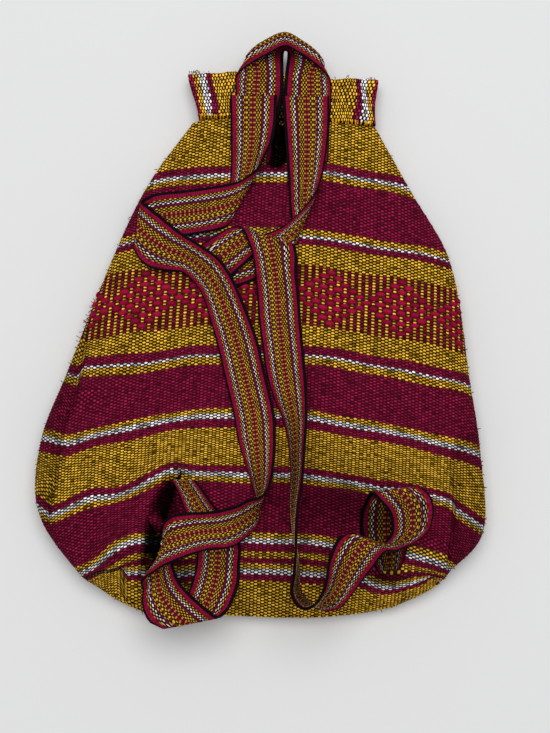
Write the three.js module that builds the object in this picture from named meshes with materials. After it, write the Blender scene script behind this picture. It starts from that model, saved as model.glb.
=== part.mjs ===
// A handwoven cotton backpack, lying on its front with its straps up. Millimetres, +Z up.
// One cloth folded at the base and sewn at the sides makes the sack. Two folded bands make the
// drawstring channel at its mouth, and one narrow woven belt makes the hang loop and both straps.
// Everything is laid out from the middle of the mouth seam: +Y towards the mouth, +X to the right.
import * as THREE from 'three';

// sack
const sackLength = 398; // mouth seam to base fold, flat along the floor
const sackWidth = 344;
const sackDepth = 71; // front to back where it is fullest
const mouthWidth = 148;
const mouthDepth = 22;
const sideHeight = 18; // side seam above the floor
const baseHeight = 12; // base fold above the floor
const stripeHang = 31; // how much lower the cloth hangs at the sides than in the middle
const clothThickness = 2;

// mouth bands
const bandLength = 38;
const bandThickness = 5.2; // folded, with the channel flat
const bandCloth = 1.7;
const bandFlare = 3; // the free edge is wider than the seam, at each end

// belt
const beltWidth = 36;
const beltThickness = 1.8;

// clearances
const seamGap = 0.3;
const layerGap = 0.9; // between belts that lie on each other

// shape of the sack from the mouth seam to the base fold
const downShare = [0, 0.123, 0.259, 0.51, 0.623, 0.739, 0.864, 0.925, 0.965, 1];
const widthShare = [0, 0.306, 0.592, 0.867, 1, 0.99, 0.69, 0.65, 0.63, 0.61]; // mouth to widest
const hangShare = [0, 0.1, 0.19, 0.39, 0.61, 1, 0.58, -0.03, -0.39, -0.84];
const mouthSide = mouthDepth / 2;
const sideRow = [mouthSide, 14, 16, sideHeight, sideHeight, sideHeight, 16, 14, 13, baseHeight];
const mouthSwell = (mouthDepth - mouthSide) / (sackDepth - mouthSide);
const swellShare = [mouthSwell, 0.42, 0.69, 0.943, 1, 0.98, 0.836, 0.544, 0.293, 0];
const hangPower = 2.4;
const frontFlat = 1.15; // over 1 presses the middle of the front flat on the floor
const baseTurn = 0.9; // where the front starts to curl up to the base fold
const sackColumns = 24;
const sackRows = [0, 0.06, 0.12, 0.19, 0.26, 0.34, 0.42, 0.5, 0.57, 0.64, 0.7, 0.76, 0.81, 0.86, 0.9, 0.93, 0.955,
  0.975, 0.99, 1];

// Cubic through the given values, with each knot's slope taken from its neighbours.
function smoothAt(knots, values, at) {
  const last = knots.length - 1;
  const t = Math.min(Math.max(at, knots[0]), knots[last]);
  let i = 0;
  while (i < last - 1 && t > knots[i + 1]) i += 1;
  const slope = (k) => {
    const a = Math.max(0, k - 1);
    const b = Math.min(last, k + 1);
    return (values[b] - values[a]) / (knots[b] - knots[a]);
  };
  const span = knots[i + 1] - knots[i];
  const s = (t - knots[i]) / span;
  const rise = values[i + 1] - values[i];
  const start = slope(i) * span;
  const end = slope(i + 1) * span;
  return values[i] + s * (start + s * (3 * rise - 2 * start - end + s * (start + end - 2 * rise)));
}

// The cross row of the sack at a share of its length.
function sackRow(share) {
  const side = smoothAt(downShare, sideRow, share);
  return {
    y: -sackLength * share,
    half: (mouthWidth + (sackWidth - mouthWidth) * smoothAt(downShare, widthShare, share)) / 2,
    side,
    height: side + (sackDepth - side) * smoothAt(downShare, swellShare, share),
    hang: stripeHang * smoothAt(downShare, hangShare, share),
  };
}

// A point of the sack's outside: angle runs from -90 degrees at the left seam to 90 at the right.
function sackPoint(share, angle, isBack) {
  const row = sackRow(share);
  const across = Math.sin(angle);
  const crown = Math.max(0, Math.cos(angle));
  const curl = Math.max(0, (share - baseTurn) / (1 - baseTurn));
  const floor = row.side * (1 - Math.sqrt(1 - curl * curl));
  const back = row.side + (row.height - row.side) * crown;
  const front = row.side - (row.side - floor) * Math.min(1, frontFlat * Math.sqrt(crown));
  return new THREE.Vector3(
    row.half * across,
    row.y - row.hang * Math.abs(across) ** hangPower,
    isBack ? back : front,
  );
}

// Height of the cloth's back at a place seen from above, and 0 beside the sack.
function clothTop(x, y) {
  if (y > bandLength) return 0;
  if (y >= 0) return bandMiddle(x, true) + bandThickness / 2;
  let near = 0;
  let far = 1;
  for (let step = 0; step < 40; step += 1) {
    const middle = (near + far) / 2;
    const row = sackRow(middle);
    const across = Math.min(1, Math.abs(x) / row.half);
    if (row.y - row.hang * across ** hangPower > y) near = middle;
    else far = middle;
  }
  const row = sackRow(near);
  const across = Math.abs(x) / row.half;
  if (across >= 1 || near > 0.9999) return 0;
  return row.side + (row.height - row.side) * Math.sqrt(1 - across * across);
}

// Height that a belt rests at: the cloth's top, or that of the cloth just inside the sack's rim.
const rimInset = 30;
function restHeight(x, y) {
  const inside = Math.min(Math.max(y, rimInset - sackLength), bandLength);
  const row = sackRow(Math.max(0, -inside / sackLength));
  const limit = row.half - rimInset;
  return clothTop(Math.min(Math.max(x, -limit), limit), inside);
}

// Middle of a mouth band's thickness. The two bands part in the middle and lie on each other at the ends.
function bandMiddle(x, isBack) {
  const seamHalf = (bandThickness + seamGap) / 2;
  const open = (mouthDepth - bandThickness) / 2 - seamHalf;
  const across = Math.min(1, Math.abs(x) / (mouthWidth / 2 + bandFlare));
  const part = seamHalf + Math.max(0, open) * Math.sqrt(1 - across * across);
  const level = Math.max(mouthSide, seamHalf + bandThickness / 2);
  return level + (isBack ? part : -part) + (isBack ? bandThickness / 4 : 0);
}

// Closed solid through rings of points, all running the same way round, with flat ends.
function loftSolid(rings) {
  const count = rings[0].length;
  const index = [];
  for (let r = 0; r < rings.length - 1; r += 1) {
    for (let k = 0; k < count; k += 1) {
      const a = r * count + k;
      const b = r * count + (k + 1) % count;
      index.push(a, b, b + count, a, b + count, a + count);
    }
  }
  const flat = flattenRing(rings[0]);
  const ends = THREE.ShapeUtils.triangulateShape(flat, []);
  const last = (rings.length - 1) * count;
  const turn = THREE.ShapeUtils.area(flat) > 0;
  for (const [a, b, c] of ends) {
    if (turn) index.push(a, c, b, last + a, last + b, last + c);
    else index.push(a, b, c, last + a, last + c, last + b);
  }
  const geometry = new THREE.BufferGeometry().setFromPoints(rings.flat());
  geometry.setIndex(index);
  return facingOut(geometry);
}

// The ring seen along its own axis, for closing an end.
function flattenRing(ring) {
  const along = new THREE.Vector3();
  const from = ring[0];
  for (let k = 1; k < ring.length - 1; k += 1) {
    const a = ring[k].clone().sub(from);
    const b = ring[k + 1].clone().sub(from);
    along.add(a.cross(b));
  }
  along.normalize();
  const side = ring[1].clone().sub(from).normalize();
  const up = along.clone().cross(side);
  return ring.map((p) => new THREE.Vector2(p.clone().sub(from).dot(side), p.clone().sub(from).dot(up)));
}

// Turns the faces over if they point in.
function facingOut(geometry) {
  const index = geometry.getIndex();
  const place = geometry.getAttribute('position');
  const corner = (k) => new THREE.Vector3().fromBufferAttribute(place, index.getX(k));
  let volume = 0;
  for (let k = 0; k < index.count; k += 3) volume += corner(k).dot(corner(k + 1).cross(corner(k + 2)));
  if (volume < 0) {
    for (let k = 0; k < index.count; k += 3) {
      const held = index.getX(k + 1);
      index.setX(k + 1, index.getX(k + 2));
      index.setX(k + 2, held);
    }
  }
  return geometry;
}

// The sack: one cloth, open at the mouth, with its inside parallel to its outside.
function sackSolid() {
  const columns = sackColumns;
  const rows = sackRows.length - 1;
  const points = [];
  const place = new Map();
  const corner = (i, j, isBack) => {
    const shared = i === 0 || i === columns || j === rows;
    const key = `${i} ${j} ${isBack || shared}`;
    if (!place.has(key)) {
      place.set(key, points.length);
      points.push(sackPoint(sackRows[j], (i / columns - 0.5) * Math.PI, isBack || shared));
    }
    return place.get(key);
  };
  const skin = [];
  for (const isBack of [true, false]) {
    for (let i = 0; i < columns; i += 1) {
      for (let j = 0; j < rows; j += 1) {
        const a = corner(i, j, isBack);
        const b = corner(i + 1, j, isBack);
        const c = corner(i + 1, j + 1, isBack);
        const d = corner(i, j + 1, isBack);
        if (isBack) skin.push([a, d, c], [a, c, b]);
        else skin.push([a, c, d], [a, b, c]);
      }
    }
  }
  const outside = new THREE.BufferGeometry().setFromPoints(points);
  outside.setIndex(skin.flat());
  outside.computeVertexNormals();
  const normals = outside.getAttribute('normal');
  const inner = points.map((p, k) => {
    const away = new THREE.Vector3().fromBufferAttribute(normals, k);
    return p.clone().addScaledVector(away, -clothThickness);
  });
  for (let i = 0; i <= columns; i += 1) {
    for (const isBack of [true, false]) inner[corner(i, 0, isBack)].y = points[corner(i, 0, isBack)].y;
  }
  const count = points.length;
  const index = [];
  for (const [a, b, c] of skin) index.push(a, b, c, a + count, c + count, b + count);
  const rim = [];
  for (let i = 0; i < columns; i += 1) rim.push(corner(i, 0, true));
  for (let i = columns; i > 0; i -= 1) rim.push(corner(i, 0, false));
  rim.forEach((a, k) => {
    const b = rim[(k + 1) % rim.length];
    index.push(a, b, b + count, a, b + count, a + count);
  });
  const geometry = new THREE.BufferGeometry().setFromPoints([...points, ...inner]);
  geometry.setIndex(index);
  return facingOut(geometry);
}

// A mouth band: a strip folded over lengthwise, which leaves the drawstring's channel inside the fold.
const bandColumns = 18;
function bandSolid(isBack) {
  const outer = bandThickness / 2;
  const inner = outer - bandCloth;
  const fold = bandLength - outer;
  const section = [[seamGap, outer], [fold, outer], [bandLength, outer / 2], [bandLength, -outer / 2],
    [fold, -outer], [seamGap, -outer], [seamGap, -inner], [fold - bandCloth / 2, -inner],
    [fold - bandCloth / 2, inner], [seamGap, inner]];
  const rings = [];
  for (let k = 0; k <= bandColumns; k += 1) {
    const across = Math.sin((k / bandColumns - 0.5) * Math.PI);
    rings.push(section.map(([y, z]) => {
      const x = across * (mouthWidth / 2 + bandFlare * y / bandLength);
      return new THREE.Vector3(x, y, bandMiddle(x, isBack) + z);
    }));
  }
  return loftSolid(rings);
}

// A belt laid along its route. Each row of a route is x and y of the belt's middle, the number of belt
// layers under its lower edge, and the way to its right selvedge (x, y, z) in half widths.
const stepsPerRow = 2;
const tries = [-1, -0.5, 0, 0.5, 1];
function beltSolid(route) {
  const layer = beltThickness + layerGap;
  const rows = route.map(([x, y, layers, ax, ay, az]) => {
    const standing = Math.abs(az) * beltWidth / 2;
    const z = restHeight(x, y) + seamGap + beltThickness / 2 + layers * layer + standing;
    return [x, y, z, ax, ay, az];
  });
  const knots = [0];
  for (let k = 1; k < rows.length; k += 1) {
    const [a, b] = [rows[k - 1], rows[k]];
    knots.push(knots[k - 1] + Math.max(1, Math.hypot(b[0] - a[0], b[1] - a[1], b[2] - a[2])));
  }
  const middles = [];
  const halves = [];
  for (let step = 0; step <= (rows.length - 1) * stepsPerRow; step += 1) {
    const k = Math.min(Math.floor(step / stepsPerRow), rows.length - 2);
    const at = knots[k] + (knots[k + 1] - knots[k]) * (step / stepsPerRow - k);
    const value = (column) => smoothAt(knots, rows.map((row) => row[column]), at);
    const middle = new THREE.Vector3(value(0), value(1), value(2));
    const half = new THREE.Vector3(value(3), value(4), value(5)).multiplyScalar(beltWidth / 2);
    const short = tries.map((t) => {
      const p = middle.clone().addScaledVector(half, t);
      return clothTop(p.x, p.y) + seamGap + beltThickness / 2 - p.z;
    });
    middle.z += Math.max(0, ...short);
    middles.push(middle);
    halves.push(half);
  }
  const rings = middles.map((middle, k) => {
    const ahead = middles[Math.min(k + 1, middles.length - 1)].clone();
    const along = ahead.sub(middles[Math.max(k - 1, 0)]);
    const face = along.cross(halves[k]).setLength(beltThickness / 2);
    const corner = (side, up) => middle.clone().addScaledVector(halves[k], side).addScaledVector(face, up);
    return [corner(-1, 1), corner(1, 1), corner(1, -1), corner(-1, -1)];
  });
  return loftSolid(rings);
}

// left strap: down, folded over to the left, back across itself, down the sack, then folded up at the base
const leftRoute = [
  [-24, 17, 1.6, 1.03, 0.05, 0],
  [-23, -9, 2, 0.98, 0.14, 0],
  [-23, -35, 1.8, 0.86, 0.57, 0],
  [-25, -59, 1.1, 0.75, 1.17, 0],
  [-26, -72, 2, 0.65, 1.41, 0],
  [-32, -79, 2.9, 0.63, 1.29, 0],
  [-43, -85, 2.9, 0.63, 1.15, 0],
  [-60, -88, 1.8, 0.48, 1.1, 0],
  [-82, -90, 0.9, 0.31, 1.07, 0],
  [-99, -93, 0.7, 0.17, 1.12, 0],
  [-109, -99, 1.8, 0.08, 1.13, 0],
  [-102, -108, 2.9, 0.12, 1.19, 0],
  [-93, -115, 2.9, 0.19, 1.12, 0],
  [-80, -122, 2.4, 0.19, 0.87, 0.1],
  [-68, -127, 1.6, 0.19, 0.64, 0.3],
  [-57, -135, 1.7, 0.28, 0.61, 0.35],
  [-49, -143, 1.7, 0.38, 0.63, 0.35],
  [-42, -154, 1.1, 0.54, 0.49, 0.35],
  [-35, -170, 0.5, 0.69, 0.31, 0.3],
  [-26, -193, 0.4, 0.82, 0.13, 0.1],
  [-18, -221, 0.3, 0.83, 0.1, 0],
  [-10, -250, 0.1, 0.83, 0.05, 0.1],
  [-7, -269, 0.1, 0.77, 0, 0.3],
  [-4, -287, 0, 0.6, -0.02, 0.6],
  [-2, -304, 0.2, 0.36, -0.07, 0.9],
  [-2, -317, 0.3, 0.14, -0.24, 0.95],
  [-7, -324, 0.5, 0.16, -0.47, 0.8],
  [-15, -330, 1.6, 0.26, -0.56, 0.5],
  [-27, -336, 3.3, 0.27, -0.72, 0.2],
  [-41, -338, 3.6, 0.14, -0.75, 0],
  [-55, -341, 3.3, 0.01, -0.88, 0],
  [-68, -345, 3.1, -0.13, -1.06, 0],
  [-75, -350, 2.3, -0.25, -1.09, 0],
  [-76, -360, 1.6, -0.41, -0.81, 0],
  [-77, -373, 1.6, -0.58, -0.55, 0],
  [-74, -384, 1.6, -0.75, -0.45, 0],
  [-67, -394, 2.3, -0.96, -0.42, 0],
  [-58, -402, 2.2, -1.17, -0.32, 0],
  [-52, -406, 1.1, -1.28, -0.31, 0],
  [-44, -401, 0.1, -1.13, -0.3, 0],
  [-38, -389, 0.3, -1.04, -0.17, 0],
  [-34, -377, 0.1, -1, -0.15, 0],
  [-32, -361, 0.1, -0.89, -0.1, 0],
  [-32, -349, 0.1, -0.89, -0.1, 0],
  [-38, -334, 0, -0.79, -0.09, -0.05],
  [-47, -321, 0.1, -0.65, -0.03, -0.2],
  [-53, -311, 0.1, -0.55, 0, -0.3],
  [-60, -301, 0, -0.5, 0.03, -0.3],
];

// right strap: down, zigzag to the left and back, down the sack on its edge, then a turn and a standing loop
const rightRoute = [
  [18, 18, 1.6, 1.03, 0.05, 0],
  [20, -11, 1.8, 0.96, 0.04, 0],
  [21, -50, 1.2, 0.76, 0.26, 0],
  [21, -73, 0.9, 0.6, 0.66, 0],
  [22, -90, 1.8, 0.43, 1.16, 0],
  [18, -99, 2.9, 0.36, 1.15, 0],
  [11, -108, 2.9, 0.32, 1.05, 0],
  [0, -118, 0.9, 0.17, 0.96, 0],
  [-15, -126, 0.4, 0.02, 0.97, 0],
  [-33, -132, 0.2, -0.31, 0.96, 0],
  [-49, -135, 1.3, -0.54, 0.9, 0],
  [-43, -129, 2.7, -0.58, 0.74, 0],
  [-34, -121, 3.1, -0.51, 0.71, 0],
  [-23, -112, 3.3, -0.69, 0.5, 0],
  [-8, -108, 3.9, -1.24, 0.36, 0],
  [-4, -115, 4.9, -1.18, 0.47, 0],
  [-2, -124, 5, -1.05, 0.48, 0],
  [0, -133, 4.5, -0.96, 0.46, 0],
  [2, -144, 3, -0.93, 0.35, 0],
  [4, -158, 1.4, -0.9, 0.2, 0],
  [6, -176, 0.7, -0.87, 0, 0],
  [9, -195, 0.2, -0.84, -0.03, -0.05],
  [13, -220, 0.1, -0.79, 0.01, -0.3],
  [17, -238, 0, -0.66, 0.05, -0.55],
  [21, -255, 0.1, -0.47, 0.08, -0.75],
  [23, -274, 0.2, -0.32, 0.1, -0.9],
  [24, -295, 0.3, -0.24, 0.11, -0.95],
  [23, -316, 0.2, -0.18, 0.12, -0.98],
  [24, -335, 0.1, -0.07, 0.07, -1],
  [26, -351, 0.1, 0.03, 0.06, -1],
  [27, -367, 0, 0.13, 0.07, -1],
  [27, -379, 0, 0.19, 0.12, -0.98],
  [31, -386, 0, 0.17, 0.2, -0.97],
  [36, -389, 0, 0.07, 0.21, -0.95],
  [43, -388, 0, 0.03, -0.04, -0.95],
  [48, -386, 0, 0.1, -0.34, -0.9],
  [55, -380, 0, 0.34, -0.5, -0.7],
  [60, -369, 0.1, 0.56, -0.51, -0.55],
  [65, -358, 0.6, 0.7, -0.5, -0.4],
  [70, -349, 1.6, 0.77, -0.49, -0.2],
  [78, -340, 2.9, 0.78, -0.38, 0],
  [86, -341, 2.7, 0.76, -0.27, 0],
  [101, -340, 2.3, 0.7, 0.06, 0],
  [110, -332, 3.8, 0.77, 0.1, 0],
  [111, -323, 5.9, 0.84, 0.06, 0],
  [109, -314, 8.1, 0.92, 0.15, 0],
  [104, -308, 9.9, 0.99, 0.19, 0],
  [97, -303, 10.3, 0.99, 0.15, 0],
  [94, -304, 8.4, 1.04, 0.13, 0],
  [92, -312, 5.1, 1.03, 0.09, 0],
  [92, -328, 1, 1.03, 0.11, 0],
  [94, -342, 0.2, 0.89, 0.15, 0],
  [96, -352, 0.1, 0.66, 0.13, 0],
  [97, -360, 0, 0.44, 0.04, 0],
];

// hang loop: up the left leg, turned over like a hood beyond the mouth, and down the right leg
const loopRoute = [
  [-21.5, -40, 0, 0.99, 0.05, 0],
  [-22.5, -7, 0, 1.01, 0.05, 0],
  [-21.5, 22, 0, 1.01, 0.07, 0],
  [-19.5, 35, 0.2, 0.9, 0.09, 0],
  [-16.5, 44, -0.3, 0.75, 0.3, -0.2],
  [-11, 52, -1.6, 0.5, 0.45, -0.5],
  [-6, 60, -3.2, 0.22, 0.56, -0.8],
  [0, 66, -3.9, 0, 0.6, -0.9],
  [6, 62, -3.2, -0.24, 0.47, -0.8],
  [12, 55, -1.6, -0.51, 0.31, -0.5],
  [16.5, 48, -0.3, -0.75, 0.11, -0.2],
  [19.5, 37, 0.2, -0.91, -0.02, 0],
  [21, 23, 0, -0.99, -0.02, 0],
  [21.5, -5, 0, -1.01, -0.05, 0],
  [22, -38, 0, -0.99, -0.05, 0],
];

const mustardCloth = new THREE.MeshStandardMaterial({ color: 0xa8801c, roughness: 0.92, metalness: 0 });
const maroonBelt = new THREE.MeshStandardMaterial({ color: 0x7c1a34, roughness: 0.88, metalness: 0 });

const backpack = new THREE.Group();
function add(name, geometry, material) {
  const mesh = new THREE.Mesh(geometry, material);
  mesh.name = name;
  backpack.add(mesh);
}
add('sack', sackSolid(), mustardCloth);
add('back_mouth_band', bandSolid(true), mustardCloth);
add('front_mouth_band', bandSolid(false), mustardCloth);
add('hang_loop', beltSolid(loopRoute), maroonBelt);
add('left_strap', beltSolid(leftRoute), maroonBelt);
add('right_strap', beltSolid(rightRoute), maroonBelt);

// the origin is under the middle of the whole backpack, on the floor
const reach = new THREE.Box3().setFromObject(backpack);
const middle = reach.getCenter(new THREE.Vector3());
backpack.position.set(-middle.x, -middle.y, -reach.min.z);
backpack.updateMatrixWorld(true);

export default backpack;
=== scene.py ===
import math
import random

import bpy
import numpy as np
from mathutils import Matrix, Vector
from mathutils.bvhtree import BVHTree


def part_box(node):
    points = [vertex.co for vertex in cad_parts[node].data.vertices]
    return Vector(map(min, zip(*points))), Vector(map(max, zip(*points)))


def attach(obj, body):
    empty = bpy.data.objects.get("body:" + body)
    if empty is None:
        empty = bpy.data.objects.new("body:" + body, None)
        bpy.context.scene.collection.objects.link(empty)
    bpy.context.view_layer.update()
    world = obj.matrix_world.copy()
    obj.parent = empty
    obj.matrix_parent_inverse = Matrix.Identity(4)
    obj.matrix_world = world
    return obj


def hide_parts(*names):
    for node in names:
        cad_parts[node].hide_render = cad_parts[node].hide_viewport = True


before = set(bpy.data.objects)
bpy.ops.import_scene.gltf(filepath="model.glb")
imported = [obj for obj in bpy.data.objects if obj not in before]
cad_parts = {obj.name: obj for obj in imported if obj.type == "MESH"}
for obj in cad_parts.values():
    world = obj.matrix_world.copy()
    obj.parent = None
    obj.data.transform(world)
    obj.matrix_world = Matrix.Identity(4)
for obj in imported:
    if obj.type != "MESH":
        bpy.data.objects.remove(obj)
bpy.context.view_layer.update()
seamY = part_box("sack")[1].y * 1000
chance = random.Random(7)


def jitter(reach):
    return chance.uniform(-reach, reach)


# Lengths are in millimetres from the middle of the mouth seam: +y to the mouth, +z up.


def curve(knots, values, at):
    knots = np.asarray(knots, float)
    values = np.asarray(values, float)
    at = np.clip(np.asarray(at, float), knots[0], knots[-1])
    slopes = np.empty_like(values)
    slopes[0] = (values[1] - values[0]) / (knots[1] - knots[0])
    slopes[-1] = (values[-1] - values[-2]) / (knots[-1] - knots[-2])
    gaps = (knots[2:] - knots[:-2]).reshape((-1,) + (1,) * (values.ndim - 1))
    slopes[1:-1] = (values[2:] - values[:-2]) / gaps
    i = np.clip(np.searchsorted(knots, at, side="right") - 1, 0, len(knots) - 2)
    shape = at.shape + (1,) * (values.ndim - 1)
    span = (knots[i + 1] - knots[i]).reshape(shape)
    s = (at - knots[i]).reshape(shape) / span
    rise = values[i + 1] - values[i]
    start, end = slopes[i] * span, slopes[i + 1] * span
    return values[i] + s * (start + s * (3 * rise - 2 * start - end + s * (start + end - 2 * rise)))


def held(value):
    return np.clip(value, 0, 1)


def smoothStep(value):
    value = held(value)
    return value * value * (3 - 2 * value)


def ripples(waves, x, y):
    # a sum of sine waves: the size of each, its reach across and along, and where it starts
    return sum(size * np.sin(x / across + y / along + start) for size, across, along, start in waves)


def runAlong(points):
    # the length passed at each point of a line
    return np.concatenate([[0], np.cumsum(np.linalg.norm(np.diff(points, axis=0), axis=1))])


def unit(vectors):
    return vectors / np.maximum(1e-9, np.linalg.norm(vectors, axis=-1, keepdims=True))


def addObject(name, data):
    obj = bpy.data.objects.new(name, data)
    bpy.context.collection.objects.link(obj)
    return obj


def addMesh(name, points, faces, uvs=None, materials=(), slots=None):
    points = np.asarray(points, float).reshape(-1, 3)
    mesh = bpy.data.meshes.new(name)
    placed = (points + [0, seamY, 0]) / 1000
    mesh.from_pydata(placed.tolist(), [], [list(f) for f in faces])
    for material in materials:
        mesh.materials.append(material)
    if slots is not None:
        mesh.polygons.foreach_set("material_index", slots)
    if uvs is not None:
        layer = mesh.uv_layers.new(name="cloth")
        corners = np.empty(len(mesh.loops), int)
        mesh.loops.foreach_get("vertex_index", corners)
        layer.data.foreach_set("uv", np.asarray(uvs, float)[corners].ravel())
    mesh.polygons.foreach_set("use_smooth", [True] * len(mesh.polygons))
    mesh.update()
    return addObject(name, mesh)


def gridFaces(rows, columns, flip=False, start=0):
    j, i = np.meshgrid(np.arange(rows - 1), np.arange(columns - 1), indexing="ij")
    a = (start + j * columns + i).ravel()
    quads = np.stack([a, a + columns, a + columns + 1, a + 1], axis=1)
    return (quads[:, ::-1] if flip else quads).tolist()


def ringFaces(rows, count, start=0):
    # the skin round a row of closed rings, with a cap at each end
    r, c = np.meshgrid(np.arange(rows - 1) * count, np.arange(count), indexing="ij")
    after = (c + 1) % count
    quads = np.stack([r + c, r + after, r + after + count, r + c + count], axis=-1).reshape(-1, 4) + start
    last = start + (rows - 1) * count
    return quads.tolist() + [list(range(start, start + count))[::-1], list(range(last, last + count))]


def outward(points):
    return unit(np.cross(np.gradient(points, axis=0), np.gradient(points, axis=1)))


def edgeLines(rows, columns, start=0):
    index = start + np.arange(rows * columns).reshape(rows, columns)
    return index[0], index[:, -1], index[-1, ::-1], index[::-1, 0]


def zipTriangles(a, b, points):
    # joins two edge lines that start and end together
    shares = [run / run[-1] for run in (runAlong(points[a]), runAlong(points[b]))]
    faces, i, j = [], 0, 0
    while i < len(a) - 1 or j < len(b) - 1:
        if j == len(b) - 1 or (i < len(a) - 1 and shares[0][i + 1] <= shares[1][j + 1]):
            faces.append([a[i], a[i + 1], b[j]])
            i += 1
        else:
            faces.append([a[i], b[j + 1], b[j]])
            j += 1
    return faces


def raisedDots(columnSteps, rowSteps):
    # 1 on a dot, less beside it, on a lattice of half pitches in brick order
    column = (columnSteps - 1) // 2
    onColumn = np.where((rowSteps[:, None] + column) % 2 == 1, 1.0, -0.8)
    return np.where(columnSteps % 2 == 1, onColumn, -0.2)


def layLattice(points, across, along, weave):
    # half-pitch lattice over a smooth grid, from the cloth's own lengths across and along
    steps = weave["columnPitch"] / 2, weave["rowPitch"] / 2
    i = np.arange(math.floor(across.min() / steps[0]), math.ceil(across.max() / steps[0]) + 1)
    j = np.arange(math.floor(along.min() / steps[1]), math.ceil(along.max() / steps[1]) + 1)
    u, v = i * steps[0], j * steps[1]
    grid = np.concatenate([points, across[..., None], along[..., None]], axis=-1)
    columns = np.array([[np.interp(u, line[:, 3], line[:, c]) for c in range(5)] for line in grid])
    laid = np.empty((len(v), len(u), 5))
    for k in range(len(u)):
        down = np.maximum.accumulate(columns[:, 4, k]) + 1e-6 * np.arange(len(grid))
        for c in range(5):
            laid[:, k, c] = np.interp(v, down, columns[:, c, k])
    return {"i": i, "j": j, "u": u, "v": v, "laid": laid}


def onLattice(lattice, u, v):
    spots = []
    for lines, value in ((lattice["u"], u), (lattice["v"], v)):
        spot = np.clip((value - lines[0]) / (lines[1] - lines[0]), 0, len(lines) - 1.001)
        spots += [spot.astype(int), (spot - spot.astype(int))[..., None]]
    i, s, j, t = spots
    p = lattice["laid"][..., :3]
    upper = p[j, i] * (1 - s) + p[j, i + 1] * s
    lower = p[j + 1, i] * (1 - s) + p[j + 1, i + 1] * s
    return upper * (1 - t) + lower * t


def wovenCloth(name, points, across, along, weave, materials):
    # cloth with its dots in the mesh outside, a plain lining inside and a closed rim
    lattice = layLattice(points, across, along, weave)
    laid = lattice["laid"]
    free = np.abs(laid[..., 3] - lattice["u"]) < 1e-3
    free &= np.abs(laid[..., 4] - lattice["v"][:, None]) < 1e-3
    lift = raisedDots(lattice["i"], lattice["j"]) * free * weave["relief"]
    face = laid[..., :3] + outward(laid[..., :3]) * lift[..., None]
    picks = [np.unique(np.linspace(0, n - 1, n // 4).astype(int)) for n in points.shape[:2]]
    lining = (points - outward(points) * weave["cloth"])[np.ix_(*picks)]
    everything = np.concatenate([face.reshape(-1, 3), lining.reshape(-1, 3)])
    everything[:, 2] = np.maximum(everything[:, 2], 0.02)
    lengths = np.stack([across, along], axis=-1)[np.ix_(*picks)]
    uvs = np.concatenate([laid[..., 3:].reshape(-1, 2), lengths.reshape(-1, 2)])
    count = face.shape[0] * face.shape[1]
    faces = gridFaces(*face.shape[:2]) + gridFaces(*lining.shape[:2], flip=True, start=count)
    for a, b in zip(edgeLines(*face.shape[:2]), edgeLines(*lining.shape[:2], start=count)):
        faces += zipTriangles(a, b, everything)
    # the lattice's columns past the outline fall together there
    kept, where = np.unique(np.round(everything, 3), axis=0, return_index=True, return_inverse=True)[1:]
    where = where.ravel().tolist()
    rings = [list(dict.fromkeys(where[p] for p in f)) for f in faces]
    return addMesh(name, everything[kept], [r for r in rings if len(r) > 2], uvs[kept], materials), lattice


# materials
threads = {
    "yellow": (0.83, 0.435, 0.006),
    "maroon": (0.28, 0.0045, 0.051),
    "crimson": (0.37, 0.005, 0.050),
    "white": (0.88, 0.85, 0.88),
    "black": (0.007, 0.004, 0.005),
    # the pale painted highlight that lies on the top of each dot
    "paintedHighlight": (0.07, 0.14, 0.12),
}


class Number:
    # a value in a shader's node tree that takes plain arithmetic
    def __init__(self, tree, socket):
        self.tree = tree
        self.socket = socket

    def __rsub__(self, other):
        return calculate("SUBTRACT", other, self)


def addOperator(name, operation):
    setattr(Number, name, lambda *values: calculate(operation, *values))


for pair in (("__add__", "ADD"), ("__sub__", "SUBTRACT"), ("__mul__", "MULTIPLY"),
             ("__truediv__", "DIVIDE"), ("__mod__", "FLOORED_MODULO"), ("__pow__", "POWER"),
             ("__gt__", "GREATER_THAN"), ("__lt__", "LESS_THAN"), ("__abs__", "ABSOLUTE"),
             ("__floor__", "FLOOR")):
    addOperator(*pair)


def addNode(tree, kind, inputs, **settings):
    node = tree.nodes.new("ShaderNode" + kind)
    for name, value in settings.items():
        setattr(node, name, value)
    for key, value in inputs.items():
        value = getattr(value, "socket", value)
        if isinstance(value, bpy.types.NodeSocket):
            tree.links.new(value, node.inputs[key])
        else:
            node.inputs[key].default_value = value
    return node


def calculate(operation, *values):
    tree = next(value.tree for value in values if isinstance(value, Number))
    node = addNode(tree, "Math", dict(enumerate(values)), operation=operation)
    return Number(tree, node.outputs[0])


def atMost(value, limit):
    return calculate("MINIMUM", value, limit)


def atLeast(value, limit):
    return calculate("MAXIMUM", value, limit)


def newMaterial(name, roughness):
    material = bpy.data.materials.new(name)
    material.use_nodes = True
    tree = material.node_tree
    skin = tree.nodes["Principled BSDF"]
    skin.inputs["Roughness"].default_value = roughness
    skin.inputs["Specular IOR Level"].default_value = 0.02
    return material, tree, skin


def plainMaterial(name, colour, roughness=0.85):
    material, tree, skin = newMaterial(name, roughness)
    skin.inputs["Base Color"].default_value = (*colour, 1)
    return material


def partsOf(tree, vector):
    return [Number(tree, socket) for socket in addNode(tree, "SeparateXYZ", {0: vector}).outputs]


def clothCoordinates(tree):
    return partsOf(tree, addNode(tree, "UVMap", {}, uv_map="cloth").outputs["UV"])[:2]


def joinNumbers(x, y):
    return addNode(x.tree, "CombineXYZ", {0: x, 1: y}).outputs[0]


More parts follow.
